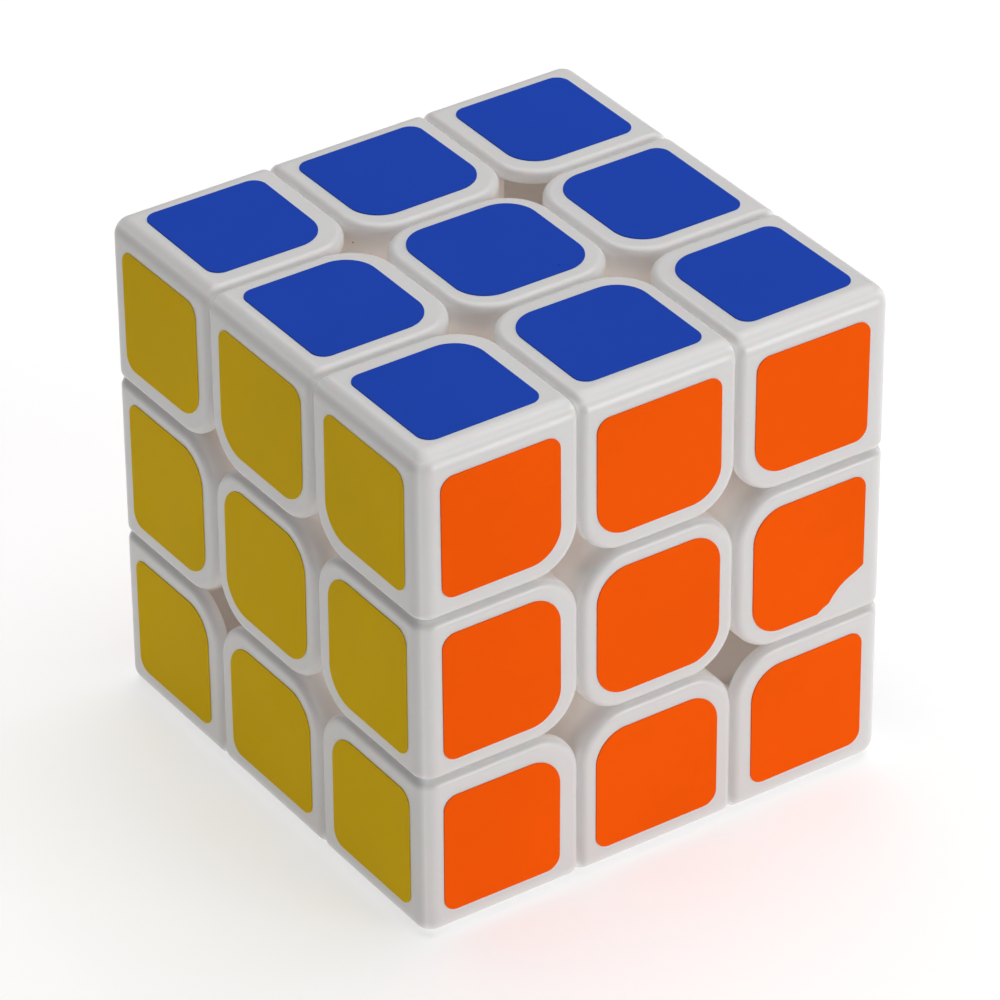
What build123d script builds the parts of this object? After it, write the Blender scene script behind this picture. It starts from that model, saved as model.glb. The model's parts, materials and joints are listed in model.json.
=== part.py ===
from build123d import *
import os

# A 3 x 3 x 3 twisty puzzle cube, in millimetres, +Z up, standing on its flat bottom face, with the
# origin at the middle of that face. Six centre pieces ride on a six-armed core, each held by a
# screw and a spring. Twelve edges and eight corners are held in by hooked feet: a corner's foot
# reaches under the edges beside it, and an edge's foot reaches under the centres beside it.
#
# Every layer turns about its own face's axis, so every boundary inside the cube is a surface of
# revolution about each of the three axes. Seen from a face, a layer ends at the flat cut beyond
# FOOT_REACH from the axis, and inside that radius its feet reach down to FOOT_DEPTH.
#
# The pieces are built about the middle of the cube, each kind once, and turned into all its places.

# driving dimensions
CUBE = 57.0  # the whole cube, face to face
LAYER = CUBE / 3  # one layer
SEAM = 0.2  # gap between neighbouring pieces at a layer's cut
JUNCTION_R = 5.3  # corners of a piece where four pieces meet on a face
OUTER_R = 2.0  # the cube's own edges and corners
RIM_R = 0.9  # round rim of each piece's face
FACE_WALL = 1.8  # thickness behind a face
SIDE_WALL = 1.5  # thickness of the walls along the cuts
FOOT_REACH = 17.5  # radius about a face's axis that holds the feet
FOOT_DEPTH = 5.6  # how close to the middle plane the feet come
SLIDE = 0.15  # clearance of a foot or wall to the surfaces it slides past, on each side

# the core, and the screw and spring in each of its arms
ARM_R, ARM_TOP = 3.5, 10.8
HUB_R = 7.4
SCREW_R, SCREW_TIP = 1.25, 4.5
THREAD_CLEAR = 0.05
HEAD_R, HEAD_BOTTOM, HEAD_TOP = 2.9, 17.8, 19.6
HEAD_ROUND, TIP_R = 0.6, 0.2
HEAD_SLOT, HEAD_SLOT_DEPTH, HEAD_SLOT_LENGTH = 0.7, 0.9, 4.1
HOLE_SPARE = 0.1  # how much deeper a screw's hole is than its tip
SPRING_R, WIRE_R, SPRING_TURNS = 2.35, 0.3, 5
SPRING_CLEAR = 0.05  # from the wire to the floor and to the screw's head
FLOOR_TOP, FLOOR_BOTTOM, FLOOR_HOLE_R = 12.5, 11.0, 1.7

# the centre piece
CENTRE_BOTTOM = 8.75  # lowest height at which the feet beside it leave room for it
STEM_R, STEM_BORE_R, STEM_BOTTOM, STEM_TOP = 5.2, 3.7, 5.9, 18.5
WELL_R = 3.6  # the well above the floor, for the spring
CAP_SPLIT = 22.5  # where the cap sits on the base
LIP, LIP_DEPTH, LIP_CLEAR = 1.1, 1.6, 0.1  # the cap's lip, which plugs into the base

# where shells and feet part, as sums of the coordinates that point outwards
EDGE_SPLIT = 30.0
CORNER_SPLIT = 43.5
SPIGOT_R, SPIGOT_LENGTH = 4.2, 2.0  # the boss on a foot that plugs into its shell
SPIGOT_ROOT = 1.0  # how far the boss reaches down into its foot
RELIEF_DEPTH = 1.3  # a corner shell's inner corners are cut away below this depth

# for picking edges
NEAR = 1e-4
RIM_ANGLE = 20  # faces that meet at more than this angle make a rim

# worked out from those
HALF = CUBE / 2
LOW = LAYER / 2 + SEAM / 2  # inner side of an outer piece
MID = LAYER / 2 - SEAM / 2  # outer side of a middle piece
FOOT_LOW = FOOT_DEPTH + SLIDE
FOOT_MID = FOOT_DEPTH - SLIDE
FOOT_R = FOOT_REACH - SLIDE
OVERHANG_R = FOOT_REACH + SLIDE

AXES = "XYZ"
NAMES = {
    (1, 0, 0): "right",
    (-1, 0, 0): "left",
    (0, -1, 0): "front",
    (0, 1, 0): "back",
    (0, 0, 1): "up",
    (0, 0, -1): "down",
}


def span_box(low, high):
    """A box between two opposite corners."""
    size = [b - a for a, b in zip(low, high)]
    middle = [(a + b) / 2 for a, b in zip(low, high)]
    return Pos(*middle) * Box(*size)


def rod(axis, radius, length=2 * CUBE):
    """A cylinder about one of the cube's three axes, through its middle."""
    turns = {"X": Rot(0, 90, 0), "Y": Rot(90, 0, 0), "Z": Rot(0, 0, 0)}
    return turns[axis] * Cylinder(radius, length)


def tube_z(radius, bottom, top):
    """A cylinder about the Z axis between two heights."""
    return Pos(0, 0, (bottom + top) / 2) * Cylinder(radius, top - bottom)


def at_values(edge, wanted):
    """Whether an edge's middle has every wanted size of coordinate, as {axis number: size}."""
    middle = tuple(edge @ 0.5)
    return all(abs(abs(middle[k]) - size) < NEAR for k, size in wanted.items())


def edges_at(body, *places):
    """The edges whose middle is at one of several places, each as {axis number: size}."""
    return [e for e in body.edges() if any(at_values(e, place) for place in places)]


def rim_edges(body):
    """The edges where two faces meet at an angle, which are a piece's face outlines."""
    faces = body.faces()
    found = []
    for edge in body.edges():
        middle = edge @ 0.5
        sides = [f.normal_at(middle) for f in faces if f.distance_to(middle) < NEAR]
        if len(sides) == 2 and sides[0].get_angle(sides[1]) > RIM_ANGLE:
            found.append(edge)
    return found


def corner_body():
    """The outside of a corner, between the right, back and up faces."""
    body = span_box([LOW] * 3, [HALF] * 3)
    pairs = [(0, 1), (1, 2), (0, 2)]
    body = fillet(edges_at(body, *[{a: LOW, b: LOW} for a, b in pairs]), JUNCTION_R)
    body = fillet(edges_at(body, *[{a: HALF, b: HALF} for a, b in pairs]), OUTER_R)
    return fillet(rim_edges(body), RIM_R)


def edge_body():
    """The outside of an edge, between the back and up faces."""
    body = span_box([-MID, LOW, LOW], [MID, HALF, HALF])
    junctions = [{0: MID, 1: LOW}, {0: MID, 2: LOW}, {1: LOW, 2: LOW}]
    body = fillet(edges_at(body, *junctions), JUNCTION_R)
    body = fillet(edges_at(body, {1: HALF, 2: HALF}), OUTER_R)
    return fillet(rim_edges(body), RIM_R) - rod("X", OVERHANG_R)


def centre_body():
    """The outside of a centre piece on the up face, down to the feet below it."""
    body = span_box([-MID, -MID, CENTRE_BOTTOM], [MID, MID, HALF])
    body = fillet(edges_at(body, {0: MID, 1: MID}), JUNCTION_R)
    body = fillet(edges_at(body, {0: MID, 2: HALF}, {1: MID, 2: HALF}) + top_arcs(body), RIM_R)
    return body - rod("X", OVERHANG_R) - rod("Y", OVERHANG_R)


def top_arcs(body):
    """The round corners of a centre piece's face outline."""
    arcs = body.edges().filter_by(GeomType.CIRCLE)
    return [e for e in arcs if abs((e @ 0.5).Z - HALF) < NEAR]


def split_plane(direction, total):
    """The plane where the coordinates along a diagonal direction add up to a total."""
    share = total / sum(direction)
    return Plane([share * d for d in direction], z_dir=direction)


def spigot(direction, total):
    """A round boss standing on the split plane, along the piece's own diagonal."""
    plane = split_plane(direction, total)
    middle = (SPIGOT_LENGTH - SPIGOT_ROOT) / 2
    return plane * Pos(0, 0, middle) * Cylinder(SPIGOT_R, SPIGOT_LENGTH + SPIGOT_ROOT)


def corner_reliefs():
    """The spaces below a corner shell's three inner corners, where the walls are cut away."""
    inner, outer, low = LOW - RIM_R, LOW + JUNCTION_R, LOW + JUNCTION_R
    high = HALF - RELIEF_DEPTH
    return [
        span_box([inner, inner, low], [outer, outer, high]),
        span_box([inner, low, inner], [outer, high, outer]),
        span_box([low, inner, inner], [high, outer, outer]),
    ]


def corner_pieces():
    """A corner's shell and foot, at the right, back and up faces."""
    body = corner_body()
    plane = split_plane((1, 1, 1), CORNER_SPLIT)
    hollow = span_box([LOW + SIDE_WALL] * 3, [HALF - FACE_WALL] * 3)
    wall_edges = [{a: LOW + SIDE_WALL, b: LOW + SIDE_WALL} for a, b in [(0, 1), (1, 2), (0, 2)]]
    hollow = fillet(edges_at(hollow, *wall_edges), JUNCTION_R - SIDE_WALL)
    shell = split(body - hollow, plane, keep=Keep.TOP) - corner_reliefs()
    anchor = span_box([FOOT_LOW] * 3, [FOOT_REACH] * 3)
    for axis in AXES:
        anchor = anchor & rod(axis, FOOT_R)
    foot = split(body, plane, keep=Keep.BOTTOM) + anchor + spigot((1, 1, 1), CORNER_SPLIT)
    return shell, foot


def edge_pieces():
    """An edge's shell and foot, at the back and up faces."""
    body = edge_body()
    plane = split_plane((0, 1, 1), EDGE_SPLIT)
    wall = MID - SIDE_WALL
    hollow = span_box([-wall, LOW + SIDE_WALL, LOW + SIDE_WALL], [wall] + [HALF - FACE_WALL] * 2)
    wall_edges = [{0: wall, 1: LOW + SIDE_WALL}, {0: wall, 2: LOW + SIDE_WALL}]
    hollow = fillet(edges_at(hollow, *wall_edges), JUNCTION_R - SIDE_WALL)
    shell = split(body - hollow, plane, keep=Keep.TOP)
    hook = span_box([-FOOT_MID, FOOT_LOW, FOOT_LOW], [FOOT_MID, FOOT_REACH, FOOT_REACH])
    hook = split(hook & rod("Y", FOOT_R) & rod("Z", FOOT_R), plane, keep=Keep.BOTTOM)
    foot = split(body, plane, keep=Keep.BOTTOM) + hook + spigot((0, 1, 1), EDGE_SPLIT)
    return shell, foot


def centre_pieces():
    """A centre's base and cap, on the up face."""
    body = centre_body()
    split_z = Plane.XY.offset(CAP_SPLIT)
    wall = MID - SIDE_WALL
    well_side = span_box([-wall, -wall, OVERHANG_R + SIDE_WALL], [wall, wall, HALF - FACE_WALL])
    pocket = fillet(edges_at(well_side, {0: wall, 1: wall}), JUNCTION_R - SIDE_WALL)
    base = split(body - pocket, split_z, keep=Keep.BOTTOM) + tube_z(STEM_R, STEM_BOTTOM, STEM_TOP)
    base -= tube_z(STEM_BORE_R, STEM_BOTTOM, FLOOR_BOTTOM)
    base -= tube_z(FLOOR_HOLE_R, FLOOR_BOTTOM, FLOOR_TOP)
    base -= tube_z(WELL_R, FLOOR_TOP, HALF - FACE_WALL)
    cap = split(body - pocket, split_z, keep=Keep.TOP)
    side = wall - LIP_CLEAR
    lip = span_box([-side, -side, CAP_SPLIT - LIP_DEPTH], [side, side, HALF - FACE_WALL])
    lip = fillet(edges_at(lip, {0: side, 1: side}), JUNCTION_R - SIDE_WALL)
    side -= LIP
    inside = span_box([-side, -side, CAP_SPLIT - LIP_DEPTH], [side, side, HALF - FACE_WALL])
    inside = fillet(edges_at(inside, {0: side, 1: side}), JUNCTION_R - SIDE_WALL - LIP)
    return base, cap + (lip - inside)


def screw():
    """A screw in the up arm: a round slotted head, a plain shank for the thread, a cone tip."""
    shank = tube_z(SCREW_R, SCREW_TIP + SCREW_R, HEAD_BOTTOM)
    tip = Pos(0, 0, SCREW_TIP + SCREW_R / 2) * Cone(TIP_R, SCREW_R, SCREW_R)
    head = tube_z(HEAD_R, HEAD_BOTTOM, HEAD_TOP)
    head = fillet(head.edges().group_by(Axis.Z)[-1], HEAD_ROUND)
    for turn in (0, 90):
        slot = Box(HEAD_SLOT_LENGTH, HEAD_SLOT, HEAD_SLOT_DEPTH)
        head -= Pos(0, 0, HEAD_TOP - HEAD_SLOT_DEPTH / 2) * Rot(0, 0, turn) * slot
    return shank + tip + head


def spring():
    """A compression spring between the base's floor and the screw's head."""
    bottom, top = FLOOR_TOP + WIRE_R + SPRING_CLEAR, HEAD_BOTTOM - WIRE_R - SPRING_CLEAR
    path = Helix((top - bottom) / SPRING_TURNS, top - bottom, SPRING_R)
    wire = Plane(path @ 0, z_dir=path % 0) * Circle(WIRE_R)
    return Pos(0, 0, bottom) * sweep(wire, path, is_frenet=True)


def core():
    """The six-armed core, with a blind hole for a screw in each arm."""
    hub = Sphere(HUB_R) & Box(*[2 * FOOT_MID] * 3)
    arms = [rod(axis, ARM_R, 2 * ARM_TOP) for axis in AXES]
    body = hub + arms
    hole = tube_z(SCREW_R + THREAD_CLEAR, SCREW_TIP - HOLE_SPARE, ARM_TOP)
    for place in face_places().values():
        body -= place * hole
    return body


def face_places():
    """The turn that takes the up face to each face, as {face direction: location}."""
    return {
        (0, 0, 1): Rot(0, 0, 0),
        (0, 0, -1): Rot(180, 0, 0),
        (1, 0, 0): Rot(0, 90, 0),
        (-1, 0, 0): Rot(0, -90, 0),
        (0, 1, 0): Rot(-90, 0, 0),
        (0, -1, 0): Rot(90, 0, 0),
    }


def places_of(start):
    """One turn of the cube for each place that a piece at a starting place can take."""
    found = {}
    for face in face_places().values():
        for quarter in range(4):
            turn = face * Rot(0, 0, 90 * quarter)
            point = (turn * Pos(*start)).position
            found.setdefault(tuple(round(v) for v in point), turn)
    return found


def face_names(place):
    """A place's faces, joined in words, as in up_front_right."""
    signs = [(0, 0, place[2]), (0, place[1], 0), (place[0], 0, 0)]
    return "_".join(NAMES[s] for s in signs if any(s))


def write(shape, node):
    """Writes one node's solids, moved from the middle of the cube to standing on its bottom."""
    shape = Pos(0, 0, HALF) * shape
    solids = shape.solids()
    export_step(solids[0] if len(solids) == 1 else Compound(solids), f"parts/{node}.step")


def main():
    """Makes every piece and writes it as its own file."""
    os.makedirs("parts", exist_ok=True)
    write(core(), "core")
    one_screw = screw()
    write(Compound([place * one_screw for place in face_places().values()]), "screws")
    one_spring = spring()
    base, cap = centre_pieces()
    for place, turn in face_places().items():
        write(turn * one_spring, f"{NAMES[place]}_spring")
        write(turn * base, f"{NAMES[place]}_centre_base")
        write(turn * cap, f"{NAMES[place]}_centre_cap")
    for kind, start, made in (
        ("edge", (0, 1, 1), edge_pieces()),
        ("corner", (1, 1, 1), corner_pieces()),
    ):
        for place, turn in places_of(start).items():
            write(turn * made[0], f"{face_names(place)}_{kind}_shell")
            write(turn * made[1], f"{face_names(place)}_{kind}_foot")


main()
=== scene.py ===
"""The looks of a stickered 3 x 3 x 3 twisty puzzle cube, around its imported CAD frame.

The frame holds every moulded, turned and coiled piece at its place. This script adds the vinyl
stickers, gives every piece its finish, and stands the cube in a small white studio.
"""

from __future__ import annotations

import json
import logging
import math
import random
from collections.abc import Callable
from dataclasses import dataclass, field
from enum import Enum
from functools import cached_property

import bpy
from bpy.types import Material, Node, NodeSocket, NodeTree, Object
from mathutils import Matrix, Vector

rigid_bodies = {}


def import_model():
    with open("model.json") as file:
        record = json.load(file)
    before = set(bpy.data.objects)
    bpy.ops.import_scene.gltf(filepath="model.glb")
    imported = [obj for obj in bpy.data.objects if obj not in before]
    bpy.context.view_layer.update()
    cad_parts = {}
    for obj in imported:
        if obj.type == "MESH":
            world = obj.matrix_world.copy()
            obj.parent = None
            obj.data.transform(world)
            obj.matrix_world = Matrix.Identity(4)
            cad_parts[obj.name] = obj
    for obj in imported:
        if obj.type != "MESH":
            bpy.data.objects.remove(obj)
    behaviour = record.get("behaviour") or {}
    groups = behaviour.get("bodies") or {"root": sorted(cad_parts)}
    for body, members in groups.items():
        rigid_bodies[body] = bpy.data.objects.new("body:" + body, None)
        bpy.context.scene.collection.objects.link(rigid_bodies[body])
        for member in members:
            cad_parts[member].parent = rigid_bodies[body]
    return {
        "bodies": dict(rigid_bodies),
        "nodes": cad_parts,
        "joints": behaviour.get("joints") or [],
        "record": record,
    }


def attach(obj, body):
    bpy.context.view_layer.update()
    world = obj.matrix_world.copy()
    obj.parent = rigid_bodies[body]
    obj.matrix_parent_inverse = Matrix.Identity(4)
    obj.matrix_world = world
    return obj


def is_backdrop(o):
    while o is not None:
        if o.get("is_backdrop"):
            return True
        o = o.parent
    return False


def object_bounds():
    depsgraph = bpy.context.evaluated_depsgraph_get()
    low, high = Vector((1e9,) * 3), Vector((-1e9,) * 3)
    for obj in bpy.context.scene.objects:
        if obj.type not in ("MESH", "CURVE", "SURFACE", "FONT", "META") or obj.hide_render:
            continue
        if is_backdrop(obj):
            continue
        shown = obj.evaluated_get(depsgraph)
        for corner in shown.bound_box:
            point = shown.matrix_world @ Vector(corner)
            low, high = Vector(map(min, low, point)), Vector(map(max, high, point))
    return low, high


log = logging.getLogger("twisty_cube")

MM = 0.001
WELD = 0.001 * MM  # nearer than this, two points are the same
QUARTER = math.pi / 2
COAT_ROUGHNESS = 0.06
GLOSS_PATCHES = 140.0  # worn patches to the metre, in the gloss
PATCH_DETAIL = 4.0
PATCH_RANGE = (0.35, 0.7)  # the noise levels between which a patch fades in
SPECK_RAGGEDNESS = 0.03  # how much a speck's outline wanders
SPECK_RAGGED_SCALE = 2400.0
SPECK_FADE = 0.02  # width of a speck's soft rim
Colour = tuple[float, float, float]


class Face(Enum):
    """A face of the cube: its name, its outward direction, and the direction across it."""

    UP = ("up", (0, 0, 1), (1, 0, 0))
    DOWN = ("down", (0, 0, -1), (1, 0, 0))
    FRONT = ("front", (0, -1, 0), (1, 0, 0))
    BACK = ("back", (0, 1, 0), (-1, 0, 0))
    LEFT = ("left", (-1, 0, 0), (0, -1, 0))
    RIGHT = ("right", (1, 0, 0), (0, 1, 0))

    @property
    def word(self) -> str:
        """The face's name in body and node names."""
        return self.value[0]

    @property
    def outward(self) -> Vector:
        """The direction out of the face."""
        return Vector(self.value[1])

    @property
    def across(self) -> Vector:
        """The direction to the right, as the face is looked at."""
        return Vector(self.value[2])

    @property
    def upward(self) -> Vector:
        """The direction to the top, as the face is looked at."""
        return self.outward.cross(self.across)


class VinylColour(Enum):
    """The vinyl's colours, as linear reflectances."""

    BLUE = (0.015, 0.062, 0.450)
    GREEN = (0.010, 0.260, 0.060)
    ORANGE = (0.950, 0.102, 0.0014)
    RED = (0.480, 0.014, 0.018)
    YELLOW = (0.700, 0.450, 0.005)
    BLACK = (0.012, 0.012, 0.013)


STICKER_COLOURS = {
    Face.UP: VinylColour.BLUE,
    Face.DOWN: VinylColour.GREEN,
    Face.FRONT: VinylColour.ORANGE,
    Face.BACK: VinylColour.RED,
    Face.LEFT: VinylColour.YELLOW,
    Face.RIGHT: VinylColour.BLACK,
}


# ---------------------------------------------------------------- node groups


class NodeChain:
    """A small hand for wiring a node tree."""

    def __init__(self, tree: NodeTree) -> None:
        """Takes the tree to wire.

        Args:
            tree: a material's or a group's node tree.
        """
        self.tree = tree

    def node(self, kind: str, **settings: object) -> Node:
        """Adds a node and sets its properties.

        Args:
            kind: the node's Blender type.
            settings: property names and values.

        Returns:
            The new node.
        """
        made = self.tree.nodes.new(kind)
        for name, value in settings.items():
            setattr(made, name, value)
        return made

    def feed(self, socket: NodeSocket, source: object) -> None:
        """Links a socket to another socket, or sets its value.

        Args:
            socket: the input to feed.
            source: an output socket, or a plain value.
        """
        if isinstance(source, NodeSocket):
            self.tree.links.new(source, socket)
        else:
            socket.default_value = source

    def noise(self, place: NodeSocket, scale: float, detail: float = 2.0) -> NodeSocket:
        """Adds noise, from 0 to 1.

        Args:
            place: the coordinates.
            scale: cycles to the metre.
            detail: how many finer layers it has.

        Returns:
            The noise's output.
        """
        made = self.node("ShaderNodeTexNoise")
        self.feed(made.inputs["Vector"], place)
        self.feed(made.inputs["Scale"], scale)
        self.feed(made.inputs["Detail"], detail)
        return made.outputs["Fac"]

    def remap(
        self, value: NodeSocket, low: object, high: object, to_low: float = 0.0, to_high: float = 1.0
    ) -> NodeSocket:
        """Maps a range of values smoothly to another, and clamps it.

        Args:
            value: the value to map.
            low: the start of its range, a number or a socket.
            high: the end of its range, a number or a socket.
            to_low: what the start becomes.
            to_high: what the end becomes.

        Returns:
            The mapped value.
        """
        made = self.node("ShaderNodeMapRange", interpolation_type="SMOOTHSTEP")
        for name, number in (
            ("Value", value),
            ("From Min", low),
            ("From Max", high),
            ("To Min", to_low),
            ("To Max", to_high),
        ):
            self.feed(made.inputs[name], number)
        return made.outputs["Result"]

    def maths(self, operation: str, *values: object) -> NodeSocket:
        """Adds one step of arithmetic.

        Args:
            operation: the Math node's operation.
            values: its operands, numbers or sockets.

        Returns:
            The result.
        """
        made = self.node("ShaderNodeMath", operation=operation)
        for socket, value in zip(made.inputs, values):
            self.feed(socket, value)
        return made.outputs["Value"]

    def mix(self, share: object, first: object, second: object) -> NodeSocket:
        """Mixes two colours.

        Args:
            share: how much of the second colour there is, from 0 to 1.
            first: a colour or a socket.
            second: a colour or a socket.

        Returns:
            The mixed colour.
        """
        made = self.node("ShaderNodeMix", data_type="RGBA")
        self.feed(made.inputs["Factor"], share)
        colours = [s for s in made.inputs if s.type == "RGBA"]
        for socket, colour in zip(colours, (first, second)):
            self.feed(socket, (*colour, 1.0) if isinstance(colour, tuple) else colour)
        return next(s for s in made.outputs if s.type == "RGBA")


@dataclass
class SurfaceEffects:
    """The effects that several finishes share, each a node group that is built on first use."""

    half: float

    def _start(self, name: str, inputs: dict[str, float], output: str) -> tuple[NodeChain, Node, Node]:
        """Makes an empty group with number inputs and one number output.

        Args:
            name: the group's name.
            inputs: the inputs' names and first values.
            output: the output's name.

        Returns:
            The chain to wire, the inputs' node and the output's node.
        """
        tree = bpy.data.node_groups.new(name, "ShaderNodeTree")
        for label, value in inputs.items():
            socket = tree.interface.new_socket(label, in_out="INPUT", socket_type="NodeSocketFloat")
            socket.default_value = value
        tree.interface.new_socket(output, in_out="OUTPUT", socket_type="NodeSocketFloat")
        chain = NodeChain(tree)
        return chain, chain.node("NodeGroupInput"), chain.node("NodeGroupOutput")

    @cached_property
    def specks(self) -> NodeTree:
        """Tiny dark specks, scattered at random: a chosen share of the cells holds one."""
        inputs = {"Spacing": 260.0, "Size": 0.05, "Share": 0.2}
        chain, given, result = self._start("specks", inputs, "Mask")
        place = chain.node("ShaderNodeTexCoord").outputs["Object"]
        cells = chain.node("ShaderNodeTexVoronoi", feature="F1")
        chain.feed(cells.inputs["Vector"], place)
        chain.feed(cells.inputs["Scale"], given.outputs["Spacing"])
        ragged = chain.maths("MULTIPLY", chain.noise(place, SPECK_RAGGED_SCALE), SPECK_RAGGEDNESS)
        distance = chain.maths("ADD", cells.outputs["Distance"], ragged)
        outside = chain.maths("ADD", given.outputs["Size"], SPECK_FADE)
        dot = chain.remap(distance, given.outputs["Size"], outside, 1.0, 0.0)
        brightness = chain.node("ShaderNodeSeparateColor")
        chain.feed(brightness.inputs["Color"], cells.outputs["Color"])
        chosen = chain.maths("LESS_THAN", brightness.outputs["Red"], given.outputs["Share"])
        chain.feed(result.inputs["Mask"], chain.maths("MULTIPLY", dot, chosen))
        return chain.tree

    @cached_property
    def grain(self) -> NodeTree:
        """A moulded or rolled surface's fine and broad unevenness, as a height."""
        inputs = {"Fine": 3000.0, "Broad": 220.0, "Broad Share": 0.5}
        chain, given, result = self._start("grain", inputs, "Height")
        place = chain.node("ShaderNodeTexCoord").outputs["Object"]
        fine = chain.noise(place, 1.0)
        broad = chain.noise(place, 1.0)
        chain.feed(fine.node.inputs["Scale"], given.outputs["Fine"])
        chain.feed(broad.node.inputs["Scale"], given.outputs["Broad"])
        lifted = chain.maths("MULTIPLY", broad, given.outputs["Broad Share"])
        chain.feed(result.inputs["Height"], chain.maths("ADD", fine, lifted))
        return chain.tree

    @cached_property
    def depth(self) -> NodeTree:
        """How far a point lies below the cube's skin, from 0 at the near depth to 1 at the far one."""
        inputs = {"Half": self.half, "Near": 0.001, "Far": 0.004}
        chain, given, result = self._start("depth", inputs, "Mask")
        place = chain.node("ShaderNodeTexCoord").outputs["Object"]
        parts = chain.node("ShaderNodeSeparateXYZ")
        chain.feed(parts.inputs["Vector"], place)
        lifted = chain.maths("SUBTRACT", parts.outputs["Z"], given.outputs["Half"])
        along = (parts.outputs["X"], parts.outputs["Y"], lifted)
        sides = [chain.maths("ABSOLUTE", value) for value in along]
        reach = chain.maths("MAXIMUM", chain.maths("MAXIMUM", sides[0], sides[1]), sides[2])
        below = chain.maths("SUBTRACT", given.outputs["Half"], reach)
        mask = chain.remap(below, given.outputs["Near"], given.outputs["Far"])
        chain.feed(result.inputs["Mask"], mask)
        return chain.tree

    @cached_property
    def handling(self) -> NodeTree:
        """Broad faint patches, as hands leave on a surface, from 0 to 1."""
        chain, given, result = self._start("handling", {"Scale": 60.0}, "Mask")
        place = chain.node("ShaderNodeTexCoord").outputs["Object"]
        patches = chain.noise(place, 1.0, PATCH_DETAIL)
        chain.feed(patches.node.inputs["Scale"], given.outputs["Scale"])
        chain.feed(result.inputs["Mask"], chain.remap(patches, *PATCH_RANGE))
        return chain.tree


# ------------------------------------------------------------------- finishes


@dataclass(frozen=True)
class Finish:
    """A surface finish: its colour, gloss, grain, handling marks, specks, and painted light below the
    cube's skin (a lighter colour and a faint glow).
    """

    name: str
    colour: Colour
    roughness: float
    worn_roughness: float
    bump_mm: float
    fine: float = 3000.0
    broad: float = 220.0
    broad_share: float = 0.5
    tint: Colour = (0.5, 0.5, 0.5)
    tint_share: float = 0.0
    speck_colour: Colour = (0.05, 0.05, 0.05)
    speck_share: float = 0.0
    speck_spacing: float = 260.0
    speck_size: float = 0.05
    metallic: float = 0.0
    specular: float = 0.5
    subsurface: float = 0.0
    subsurface_mm: float = 1.0
    coat: float = 0.0
    # painted light: a lighter colour that the surface takes below the cube's skin, in the holes between
    # pieces, where it would lie in shade
    deep_painted_light: Colour | None = None
    deep_painted_light_mm: tuple[float, float] = (1.6, 5.0)
    # painted light: an emitted colour below the cube's skin, a glow that stands in for light through the
    # thin plastic
    painted_glow: Colour | None = None
    painted_glow_mm: tuple[float, float] = (1.6, 3.2)

    def build(self, effects: SurfaceEffects) -> Material:
        """Builds the finish's material.

        Args:
            effects: the shared node groups.

        Returns:
            The material.
        """
        material = bpy.data.materials.new(self.name)
        material.use_nodes = True
        chain = NodeChain(material.node_tree)
        shader = material.node_tree.nodes["Principled BSDF"]
        shader.inputs["Metallic"].default_value = self.metallic
        shader.inputs["Specular IOR Level"].default_value = self.specular
        shader.inputs["Subsurface Weight"].default_value = self.subsurface
        shader.inputs["Subsurface Scale"].default_value = self.subsurface_mm * MM
        shader.inputs["Coat Weight"].default_value = self.coat
        shader.inputs["Coat Roughness"].default_value = COAT_ROUGHNESS
        chain.feed(shader.inputs["Base Color"], self._colour(chain, effects))
        chain.feed(shader.inputs["Roughness"], self._gloss(chain, effects))
        # painted light: the surface glows faintly below the skin, in the holes between pieces
        if self.painted_glow:
            shader.inputs["Emission Strength"].default_value = 1.0
            inside = self._depth(chain, effects, self.painted_glow_mm)
            chain.feed(shader.inputs["Emission Color"], chain.mix(inside, (0.0, 0.0, 0.0), self.painted_glow))
        grain = self._group(chain, effects.grain)
        for name, value in (("Fine", self.fine), ("Broad", self.broad), ("Broad Share", self.broad_share)):
            grain.inputs[name].default_value = value
        bump = chain.node("ShaderNodeBump")
        bump.inputs["Strength"].default_value = 1.0
        bump.inputs["Distance"].default_value = self.bump_mm * MM
        chain.feed(bump.inputs["Height"], grain.outputs["Height"])
        chain.feed(shader.inputs["Normal"], bump.outputs["Normal"])
        return material

    def _group(self, chain: NodeChain, tree: NodeTree) -> Node:
        """Places a node group in the material."""
        return chain.node("ShaderNodeGroup", node_tree=tree)

    def _depth(self, chain: NodeChain, effects: SurfaceEffects, span: tuple[float, float]) -> NodeSocket:
        """A mask that rises from 0 to 1 between two depths below the cube's skin.

        Args:
            chain: the material's chain.
            effects: the shared node groups.
            span: the two depths, in millimetres.

        Returns:
            The mask.
        """
        depth = self._group(chain, effects.depth)
        depth.inputs["Near"].default_value = span[0] * MM
        depth.inputs["Far"].default_value = span[1] * MM
        return depth.outputs["Mask"]

    def _colour(self, chain: NodeChain, effects: SurfaceEffects) -> NodeSocket:
        """The colour, tinted in broad patches, sprinkled with specks, and lightened below the cube's skin
        as painted light.

        Args:
            chain: the material's chain.
            effects: the shared node groups.

        Returns:
            The colour.
        """
        handled = self._group(chain, effects.handling)
        share = chain.maths("MULTIPLY", handled.outputs["Mask"], self.tint_share)
        colour = chain.mix(share, self.colour, self.tint)
        # painted light: below the skin, in the holes between pieces, the colour turns lighter
        if self.deep_painted_light:
            colour = chain.mix(self._depth(chain, effects, self.deep_painted_light_mm), colour, self.deep_painted_light)
        if self.speck_share:
            specks = self._group(chain, effects.specks)
            specks.inputs["Spacing"].default_value = self.speck_spacing
            specks.inputs["Size"].default_value = self.speck_size
            specks.inputs["Share"].default_value = self.speck_share
            colour = chain.mix(specks.outputs["Mask"], colour, self.speck_colour)
        return colour

    def _gloss(self, chain: NodeChain, effects: SurfaceEffects) -> NodeSocket:
        """The roughness, which handling raises in patches.

        Args:
            chain: the material's chain.
            effects: the shared node groups.

        Returns:
            The roughness.
        """
        handled = self._group(chain, effects.handling)
        handled.inputs["Scale"].default_value = GLOSS_PATCHES
        return chain.remap(handled.outputs["Mask"], 0.0, 1.0, self.roughness, self.worn_roughness)


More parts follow.
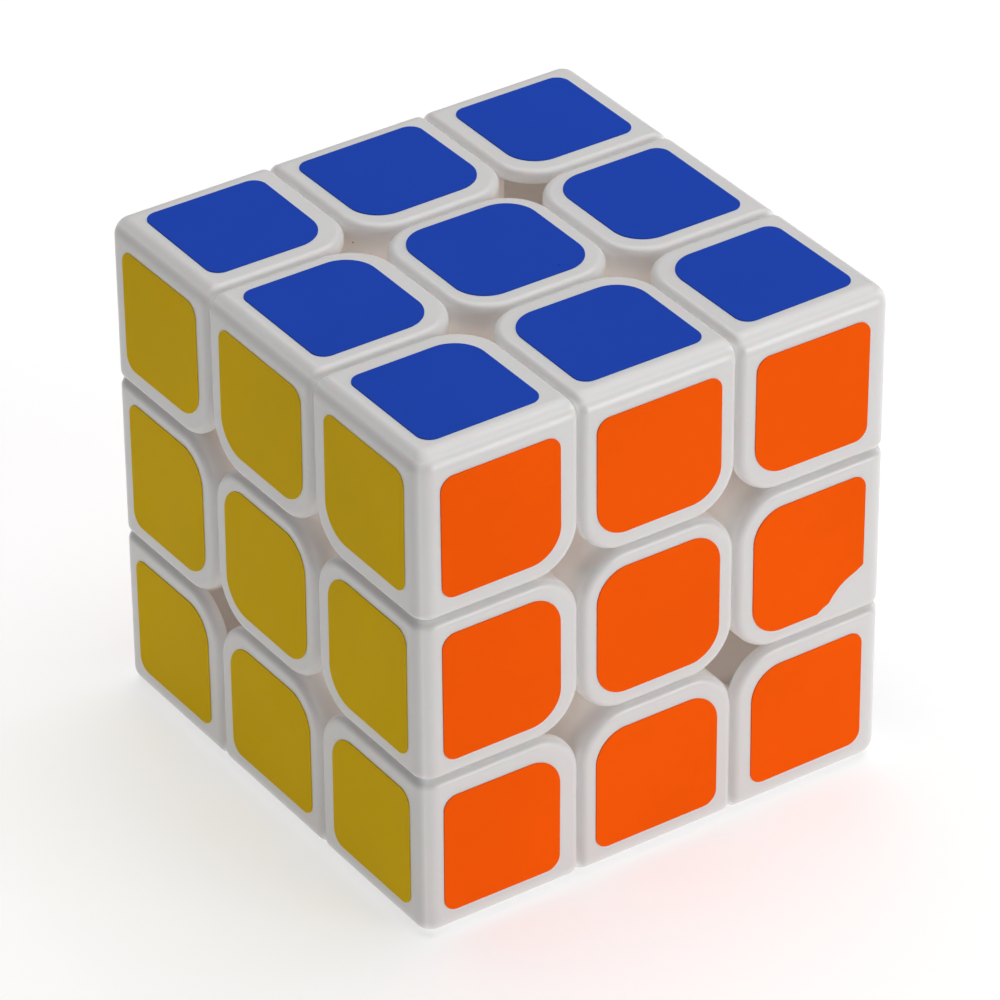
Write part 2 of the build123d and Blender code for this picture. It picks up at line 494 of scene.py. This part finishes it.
SHELL_PLASTIC = Finish(
    name="white_shell_plastic",
    colour=(0.70, 0.69, 0.685),
    tint=(0.67, 0.655, 0.64),
    tint_share=0.3,
    roughness=0.3,
    worn_roughness=0.36,
    bump_mm=0.003,
    broad=160.0,
    broad_share=2.0,
    speck_colour=(0.06, 0.05, 0.045),
    speck_share=0.06,
    speck_spacing=330.0,
    speck_size=0.04,
    subsurface=0.2,
    subsurface_mm=1.2,
    coat=0.1,
    # painted light: a near-white colour below the skin, for the light that the thin white plastic lets
    # into the holes
    deep_painted_light=(0.93, 0.925, 0.92),
    deep_painted_light_mm=(0.15, 1.0),
    # painted light: a faint warm glow below the skin
    painted_glow=(0.07, 0.06, 0.053),
)
INNER_PLASTIC = Finish(
    name="white_inner_plastic",
    # painted shade: the plastic is white; the warm, brownish cast of this colour and of its tint stands in
    # for the brownish shade seen deep in the holes
    colour=(0.78, 0.71, 0.66),
    tint=(0.70, 0.62, 0.56),
    tint_share=0.7,
    roughness=0.36,
    worn_roughness=0.5,
    bump_mm=0.006,
    subsurface=0.1,
    subsurface_mm=1.2,
    # painted light: a faint warm glow below the skin
    painted_glow=(0.065, 0.046, 0.034),
)
CORE_PLASTIC = Finish(
    name="core_plastic",
    colour=(0.55, 0.53, 0.49),
    tint=(0.42, 0.39, 0.34),
    tint_share=0.6,
    roughness=0.45,
    worn_roughness=0.6,
    bump_mm=0.01,
)
SCREW_STEEL = Finish(
    name="screw_steel",
    colour=(0.56, 0.56, 0.55),
    tint=(0.46, 0.44, 0.40),
    tint_share=0.6,
    roughness=0.26,
    worn_roughness=0.42,
    bump_mm=0.004,
    metallic=1.0,
)
SPRING_STEEL = Finish(
    name="spring_steel",
    colour=(0.47, 0.47, 0.48),
    tint=(0.36, 0.35, 0.34),
    tint_share=0.5,
    roughness=0.3,
    worn_roughness=0.45,
    bump_mm=0.002,
    metallic=1.0,
)


def vinyl_finish(colour: VinylColour) -> Finish:
    """The satin vinyl film of one colour.

    Args:
        colour: the film's colour.

    Returns:
        Its finish.
    """
    red, green, blue = colour.value
    return Finish(
        name=f"{colour.name.lower()}_vinyl",
        colour=colour.value,
        tint=(red * 0.93, green * 0.93, blue * 0.93),
        tint_share=0.6,
        roughness=0.4,
        worn_roughness=0.5,
        bump_mm=0.003,
        fine=1800.0,
        broad=120.0,
        broad_share=3.0,
        speck_colour=(red * 0.45, green * 0.4, blue * 0.4),
        speck_share=0.03,
        speck_spacing=300.0,
        speck_size=0.05,
        specular=0.01,
    )


# ------------------------------------------------------------------- stickers


class StickerShape(Enum):
    """A sticker blank: the column and row that it is cut for, and whether it is torn."""

    CENTRE = (0, 0, False)
    EDGE = (1, 0, False)
    CORNER = (1, 1, False)
    TORN_EDGE = (1, 0, True)


@dataclass
class StickerSheet:
    """The 54 vinyl stickers, nine to a face, each a separate piece on its own cube piece."""

    half: float
    layer: float
    corner_side: float = 14.0 * MM
    centre_side: float = 15.0 * MM
    inward: float = 0.15 * MM
    junction_radius: float = 3.6 * MM
    plain_radius: float = 1.55 * MM
    junction_segments: int = 14
    plain_segments: int = 8
    thickness: float = 0.12 * MM
    rim: float = 0.03 * MM
    slip: float = 0.12 * MM
    twist: float = math.radians(0.45)
    seed: int = 7
    torn_place: tuple[Face, int, int] = (Face.FRONT, 1, 0)
    tear: tuple[tuple[float, float], ...] = (
        (6.95, -3.50),
        (6.10, -4.00),
        (4.75, -4.60),
        (3.95, -5.15),
        (3.20, -5.90),
        (2.65, -6.65),
        (1.80, -7.05),
        (1.15, -7.50),
    )
    shifts: dict[Face, tuple[float, float]] = field(
        default_factory=lambda: {
            Face.UP: (0.0, 0.05),
            Face.FRONT: (-0.17, -0.02),
            Face.LEFT: (0.28, 0.25),
            Face.RIGHT: (0.1, -0.15),
            Face.BACK: (-0.1, 0.1),
            Face.DOWN: (0.12, 0.0),
        }
    )

    def build(self, effects: SurfaceEffects) -> list[Object]:
        """Cuts one blank of each shape, and dresses and places a copy of it in each square.

        Args:
            effects: the shared node groups.

        Returns:
            The stickers.
        """
        blanks = {shape: self._blank(shape) for shape in StickerShape}
        draw = random.Random(self.seed)
        made = []
        for face, colour in STICKER_COLOURS.items():
            material = vinyl_finish(colour).build(effects)
            for column in (-1, 0, 1):
                for row in (-1, 0, 1):
                    shape = self._shape(face, column, row)
                    name = f"{face.word}_sticker_{self._spot(column, row)}"
                    sticker = bpy.data.objects.new(name, blanks[shape].data.copy())
                    sticker.data.name = name
                    bpy.context.scene.collection.objects.link(sticker)
                    sticker.data.transform(self._place(face, column, row, draw))
                    sticker.data.materials.append(material)
                    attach(sticker, self._body(face, column, row))
                    made.append(sticker)
            log.info("%s face: nine %s stickers", face.word, colour.name.lower())
        for blank in blanks.values():
            bpy.data.objects.remove(blank)
        return made

    def _shape(self, face: Face, column: int, row: int) -> StickerShape:
        """The blank that a square takes.

        Args:
            face: the face.
            column: -1, 0 or 1, from left to right.
            row: -1, 0 or 1, from bottom to top.

        Returns:
            The blank's shape.
        """
        if (face, column, row) == self.torn_place:
            return StickerShape.TORN_EDGE
        return (StickerShape.CENTRE, StickerShape.EDGE, StickerShape.CORNER)[abs(column) + abs(row)]

    def _blank(self, shape: StickerShape) -> Object:
        """One flat sticker on the ground plane, towards +X and +Y from its face's middle.

        Args:
            shape: which blank it is.

        Returns:
            The blank, with its middle at the origin.
        """
        column, row, torn = shape.value
        wide = self.centre_side if column == 0 else self.corner_side
        tall = self.centre_side if row == 0 else self.corner_side
        deselect()
        bpy.ops.mesh.primitive_plane_add(size=1.0)
        sticker = bpy.context.object
        bpy.ops.object.mode_set(mode="EDIT")
        bpy.ops.transform.resize(value=(wide, tall, 1.0))
        for side in (-1, 1):
            for end in (-1, 1):
                corner = Vector((side * wide / 2, end * tall / 2))
                if torn and (side, end) == (1, -1):
                    self._tear_corner(corner)
                elif abs(2 * column + side) == 1 and abs(2 * row + end) == 1:
                    self._round_corner(corner, self.junction_radius, self.junction_segments)
                else:
                    self._round_corner(corner, self.plain_radius, self.plain_segments)
        self._thicken()
        bpy.ops.object.mode_set(mode="OBJECT")
        return sticker

    def _round_corner(self, corner: Vector, radius: float, segments: int) -> None:
        """Bevels the vertex at a corner.

        Args:
            corner: the corner's place.
            radius: the bevel's radius.
            segments: how many segments the bevel has.
        """
        select_vertices(lambda place: (place.xy - corner).length < WELD)
        bpy.ops.mesh.bevel(offset=radius, segments=segments, profile=0.5, affect="VERTICES")

    def _tear_corner(self, corner: Vector) -> None:
        """Bevels the torn corner into as many points as the tear has, and pulls each to its place.

        Args:
            corner: the corner's place before it is torn.
        """
        self._round_corner(corner, self.plain_radius, len(self.tear) - 1)
        reach = self.plain_radius + WELD
        near = [place for place in edit_points() if (place.xy - corner).length < reach]
        near.sort(key=lambda place: place.x + place.y, reverse=True)
        for start, goal in zip(near, self.tear):
            select_vertices(lambda place, start=start: (place - start).length < WELD)
            bpy.ops.transform.translate(value=Vector((goal[0] * MM, goal[1] * MM, 0.0)) - start)

    def _thicken(self) -> None:
        """Extrudes the outline to the film's thickness and softens its upper rim."""
        bpy.ops.mesh.select_all(action="SELECT")
        rise = {"value": (0.0, 0.0, self.thickness)}
        bpy.ops.mesh.extrude_region_move(TRANSFORM_OT_translate=rise)
        bpy.ops.mesh.select_mode(type="EDGE")
        bpy.ops.mesh.bevel(offset=self.rim, segments=2, affect="EDGES")
        bpy.ops.mesh.select_mode(type="VERT")
        bpy.ops.mesh.select_all(action="SELECT")
        bpy.ops.mesh.normals_make_consistent(inside=False)

    def _place(self, face: Face, column: int, row: int, draw: random.Random) -> Matrix:
        """Where a blank goes in a square, a little off true, as by hand.

        Args:
            face: the face.
            column: -1, 0 or 1, from left to right.
            row: -1, 0 or 1, from bottom to top.
            draw: the source of the small errors.

        Returns:
            The matrix that takes the blank there.
        """
        pitch = self.layer - self.inward
        shift = self.shifts[face]
        across = column * pitch + shift[0] * MM + draw.uniform(-1, 1) * self.slip
        upward = row * pitch + shift[1] * MM + draw.uniform(-1, 1) * self.slip
        error = draw.uniform(-1, 1) * self.twist
        quarters = math.floor(math.atan2(row, column) / QUARTER)
        turn = Matrix.Rotation(quarters * QUARTER + error, 4, "Z")
        middle = Vector((0.0, 0.0, self.half)) + face.outward * self.half
        origin = middle + face.across * across + face.upward * upward
        frame = Matrix((face.across, face.upward, face.outward)).transposed().to_4x4()
        return Matrix.Translation(origin) @ frame @ turn

    def _spot(self, column: int, row: int) -> str:
        """The square's name on its face, as in top_left.

        Args:
            column: -1, 0 or 1, from left to right.
            row: -1, 0 or 1, from bottom to top.

        Returns:
            The name.
        """
        height = {1: "top", 0: "middle", -1: "bottom"}[row]
        side = {1: "right", 0: "", -1: "left"}[column]
        return "_".join(word for word in (height, side) if word)

    def _body(self, face: Face, column: int, row: int) -> str:
        """The body that carries the sticker in a square.

        Args:
            face: the face.
            column: -1, 0 or 1, from left to right.
            row: -1, 0 or 1, from bottom to top.

        Returns:
            The body's name.
        """
        place = face.outward + face.across * column + face.upward * row
        wanted = {f.word for f in Face if f.outward.dot(place) > 0.5}
        ordered = [w for w in ("up", "down", "front", "back", "right", "left") if w in wanted]
        kind = {1: "centre", 2: "edge", 3: "corner"}[len(ordered)]
        return "_".join([*ordered, kind])


def deselect() -> None:
    """Deselects every object."""
    bpy.ops.object.select_all(action="DESELECT")


def edit_points() -> list[Vector]:
    """Reads the edited mesh's vertices.

    Returns:
        Their places.
    """
    mesh = bpy.context.object.data
    bpy.context.object.update_from_editmode()
    return [v.co.copy() for v in mesh.vertices]


def select_vertices(wanted: Callable[[Vector], bool]) -> None:
    """Selects the edited mesh's vertices by place.

    Args:
        wanted: a test of a vertex's place.
    """
    bpy.ops.mesh.select_all(action="DESELECT")
    bpy.ops.object.mode_set(mode="OBJECT")
    for vertex in bpy.context.object.data.vertices:
        vertex.select = wanted(vertex.co)
    bpy.ops.object.mode_set(mode="EDIT")


# -------------------------------------------------------------- moulded pieces


@dataclass
class CubeBody:
    """The cube's own pieces, which the frame holds, and the finish of each kind."""

    nodes: dict[str, Object]

    def dress(self, effects: SurfaceEffects) -> None:
        """Gives each piece its finish.

        Args:
            effects: the shared node groups.
        """
        outer, inner = SHELL_PLASTIC.build(effects), INNER_PLASTIC.build(effects)
        finishes = {
            "shell": outer,
            "cap": outer,
            "foot": inner,
            "base": inner,
            "spring": SPRING_STEEL.build(effects),
            "core": CORE_PLASTIC.build(effects),
            "screws": SCREW_STEEL.build(effects),
        }
        for name, piece in self.nodes.items():
            kind = name.split("_")[-1]
            piece.data.materials.clear()
            piece.data.materials.append(finishes[kind])
            log.info("%s: %s", name, finishes[kind].name)


# --------------------------------------------------------------------- studio


@dataclass
class SoftBox:
    """A rectangular soft light that looks at the cube."""

    name: str
    place: tuple[float, float, float]
    size: tuple[float, float]
    watts: float

    def build(self, target: Vector) -> Object:
        """Makes the light.

        Args:
            target: the point it faces.

        Returns:
            The light.
        """
        data = bpy.data.lights.new(self.name, "AREA")
        data.shape = "RECTANGLE"
        data.size, data.size_y = self.size
        data.energy = self.watts
        light = bpy.data.objects.new(self.name, data)
        bpy.context.scene.collection.objects.link(light)
        light.location = self.place
        towards = target - Vector(self.place)
        light.rotation_euler = towards.to_track_quat("-Z", "Y").to_euler()
        return light


@dataclass
class Studio:
    """A white floor, soft lights, and the camera."""

    target: Vector
    floor_height: float
    floor_side: float = 4.0
    floor_albedo: float = 0.68
    floor_glow: float = 0.46
    glow_reach: tuple[float, float] = (0.16, 0.5)
    far_glow: float = 0.35
    sky: float = 0.2
    diffuse_bounces: int = 10
    camera_distance: float = 0.62498
    camera_azimuth: float = math.radians(-34.05)
    camera_elevation: float = math.radians(33.16)
    camera_roll: float = math.radians(-0.455)
    camera_lens: float = 218.35
    aim_offset: tuple[float, float, float] = (-0.00024, -0.00068, -0.00105)
    lights: tuple[SoftBox, ...] = (
        SoftBox("front_softbox", (0.36, -0.66, 0.15), (0.4, 0.28), 2.2),
        SoftBox("top_softbox", (0.13, 0.09, 0.6), (0.7, 0.7), 2.9),
        SoftBox("overhead_lamp", (0.0, -0.08, 1.0), (0.03, 0.03), 0.2),
        SoftBox("right_lamp", (0.46, 0.03, 0.95), (0.03, 0.03), 0.2),
    )

    def build(self) -> None:
        """Builds the whole studio."""
        self._floor()
        self._sky()
        for light in self.lights:
            light.build(self.target)
        self._camera()
        bpy.context.scene.view_settings.view_transform = "Standard"
        bpy.context.scene.cycles.diffuse_bounces = self.diffuse_bounces

    def _floor(self) -> None:
        """A wide matt floor just under the bottom stickers, which glows a little round the cube."""
        deselect()
        bpy.ops.mesh.primitive_grid_add(
            x_subdivisions=8,
            y_subdivisions=8,
            size=self.floor_side,
            location=(0, 0, self.floor_height),
        )
        floor = bpy.context.object
        floor.name = "studio_floor"
        material = bpy.data.materials.new("studio_paper")
        material.use_nodes = True
        shader = material.node_tree.nodes["Principled BSDF"]
        shader.inputs["Base Color"].default_value = (self.floor_albedo,) * 3 + (1.0,)
        shader.inputs["Roughness"].default_value = 0.9
        shader.inputs["Specular IOR Level"].default_value = 0.0
        shader.inputs["Emission Strength"].default_value = 1.0
        chain = NodeChain(material.node_tree)
        place = chain.node("ShaderNodeTexCoord").outputs["Object"]
        reach = chain.node("ShaderNodeVectorMath", operation="LENGTH")
        chain.feed(reach.inputs[0], place)
        near, far = self.glow_reach
        dim = self.floor_glow * self.far_glow
        level = chain.remap(reach.outputs["Value"], near, far, self.floor_glow, dim)
        chain.feed(shader.inputs["Emission Color"], level)
        floor.data.materials.append(material)
        floor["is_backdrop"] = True

    def _sky(self) -> None:
        """An even white surround."""
        world = bpy.data.worlds.new("studio_surround")
        world.use_nodes = True
        surround = world.node_tree.nodes["Background"]
        surround.inputs["Color"].default_value = (1.0, 1.0, 1.0, 1.0)
        surround.inputs["Strength"].default_value = self.sky
        bpy.context.scene.world = world

    def _camera(self) -> None:
        """A long lens, looking down at the cube's front left edge."""
        data = bpy.data.cameras.new("camera")
        data.lens = self.camera_lens
        camera = bpy.data.objects.new("camera", data)
        bpy.context.scene.collection.objects.link(camera)
        level = math.cos(self.camera_elevation)
        back = Vector(
            (
                math.sin(self.camera_azimuth) * level,
                -math.cos(self.camera_azimuth) * level,
                math.sin(self.camera_elevation),
            )
        )
        right = Vector((0, 0, 1)).cross(back).normalized()
        right = Matrix.Rotation(self.camera_roll, 3, back) @ right
        upward = back.cross(right)
        camera.matrix_world = Matrix((right, upward, back)).transposed().to_4x4()
        camera.location = self.target + Vector(self.aim_offset) + back * self.camera_distance
        bpy.context.scene.camera = camera


def main() -> None:
    """Builds the cube's looks around the frame, and the studio around the cube."""
    logging.basicConfig(level=logging.INFO, format="%(name)s: %(message)s")
    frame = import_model()
    cad_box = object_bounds()
    half = cad_box[1].z / 2
    effects = SurfaceEffects(half=half)
    CubeBody(frame["nodes"]).dress(effects)
    stickers = StickerSheet(half=half, layer=2 * half / 3)
    stickers.build(effects)
    Studio(target=Vector((0.0, 0.0, half)), floor_height=-stickers.thickness).build()


if __name__ == "__main__":
    main()
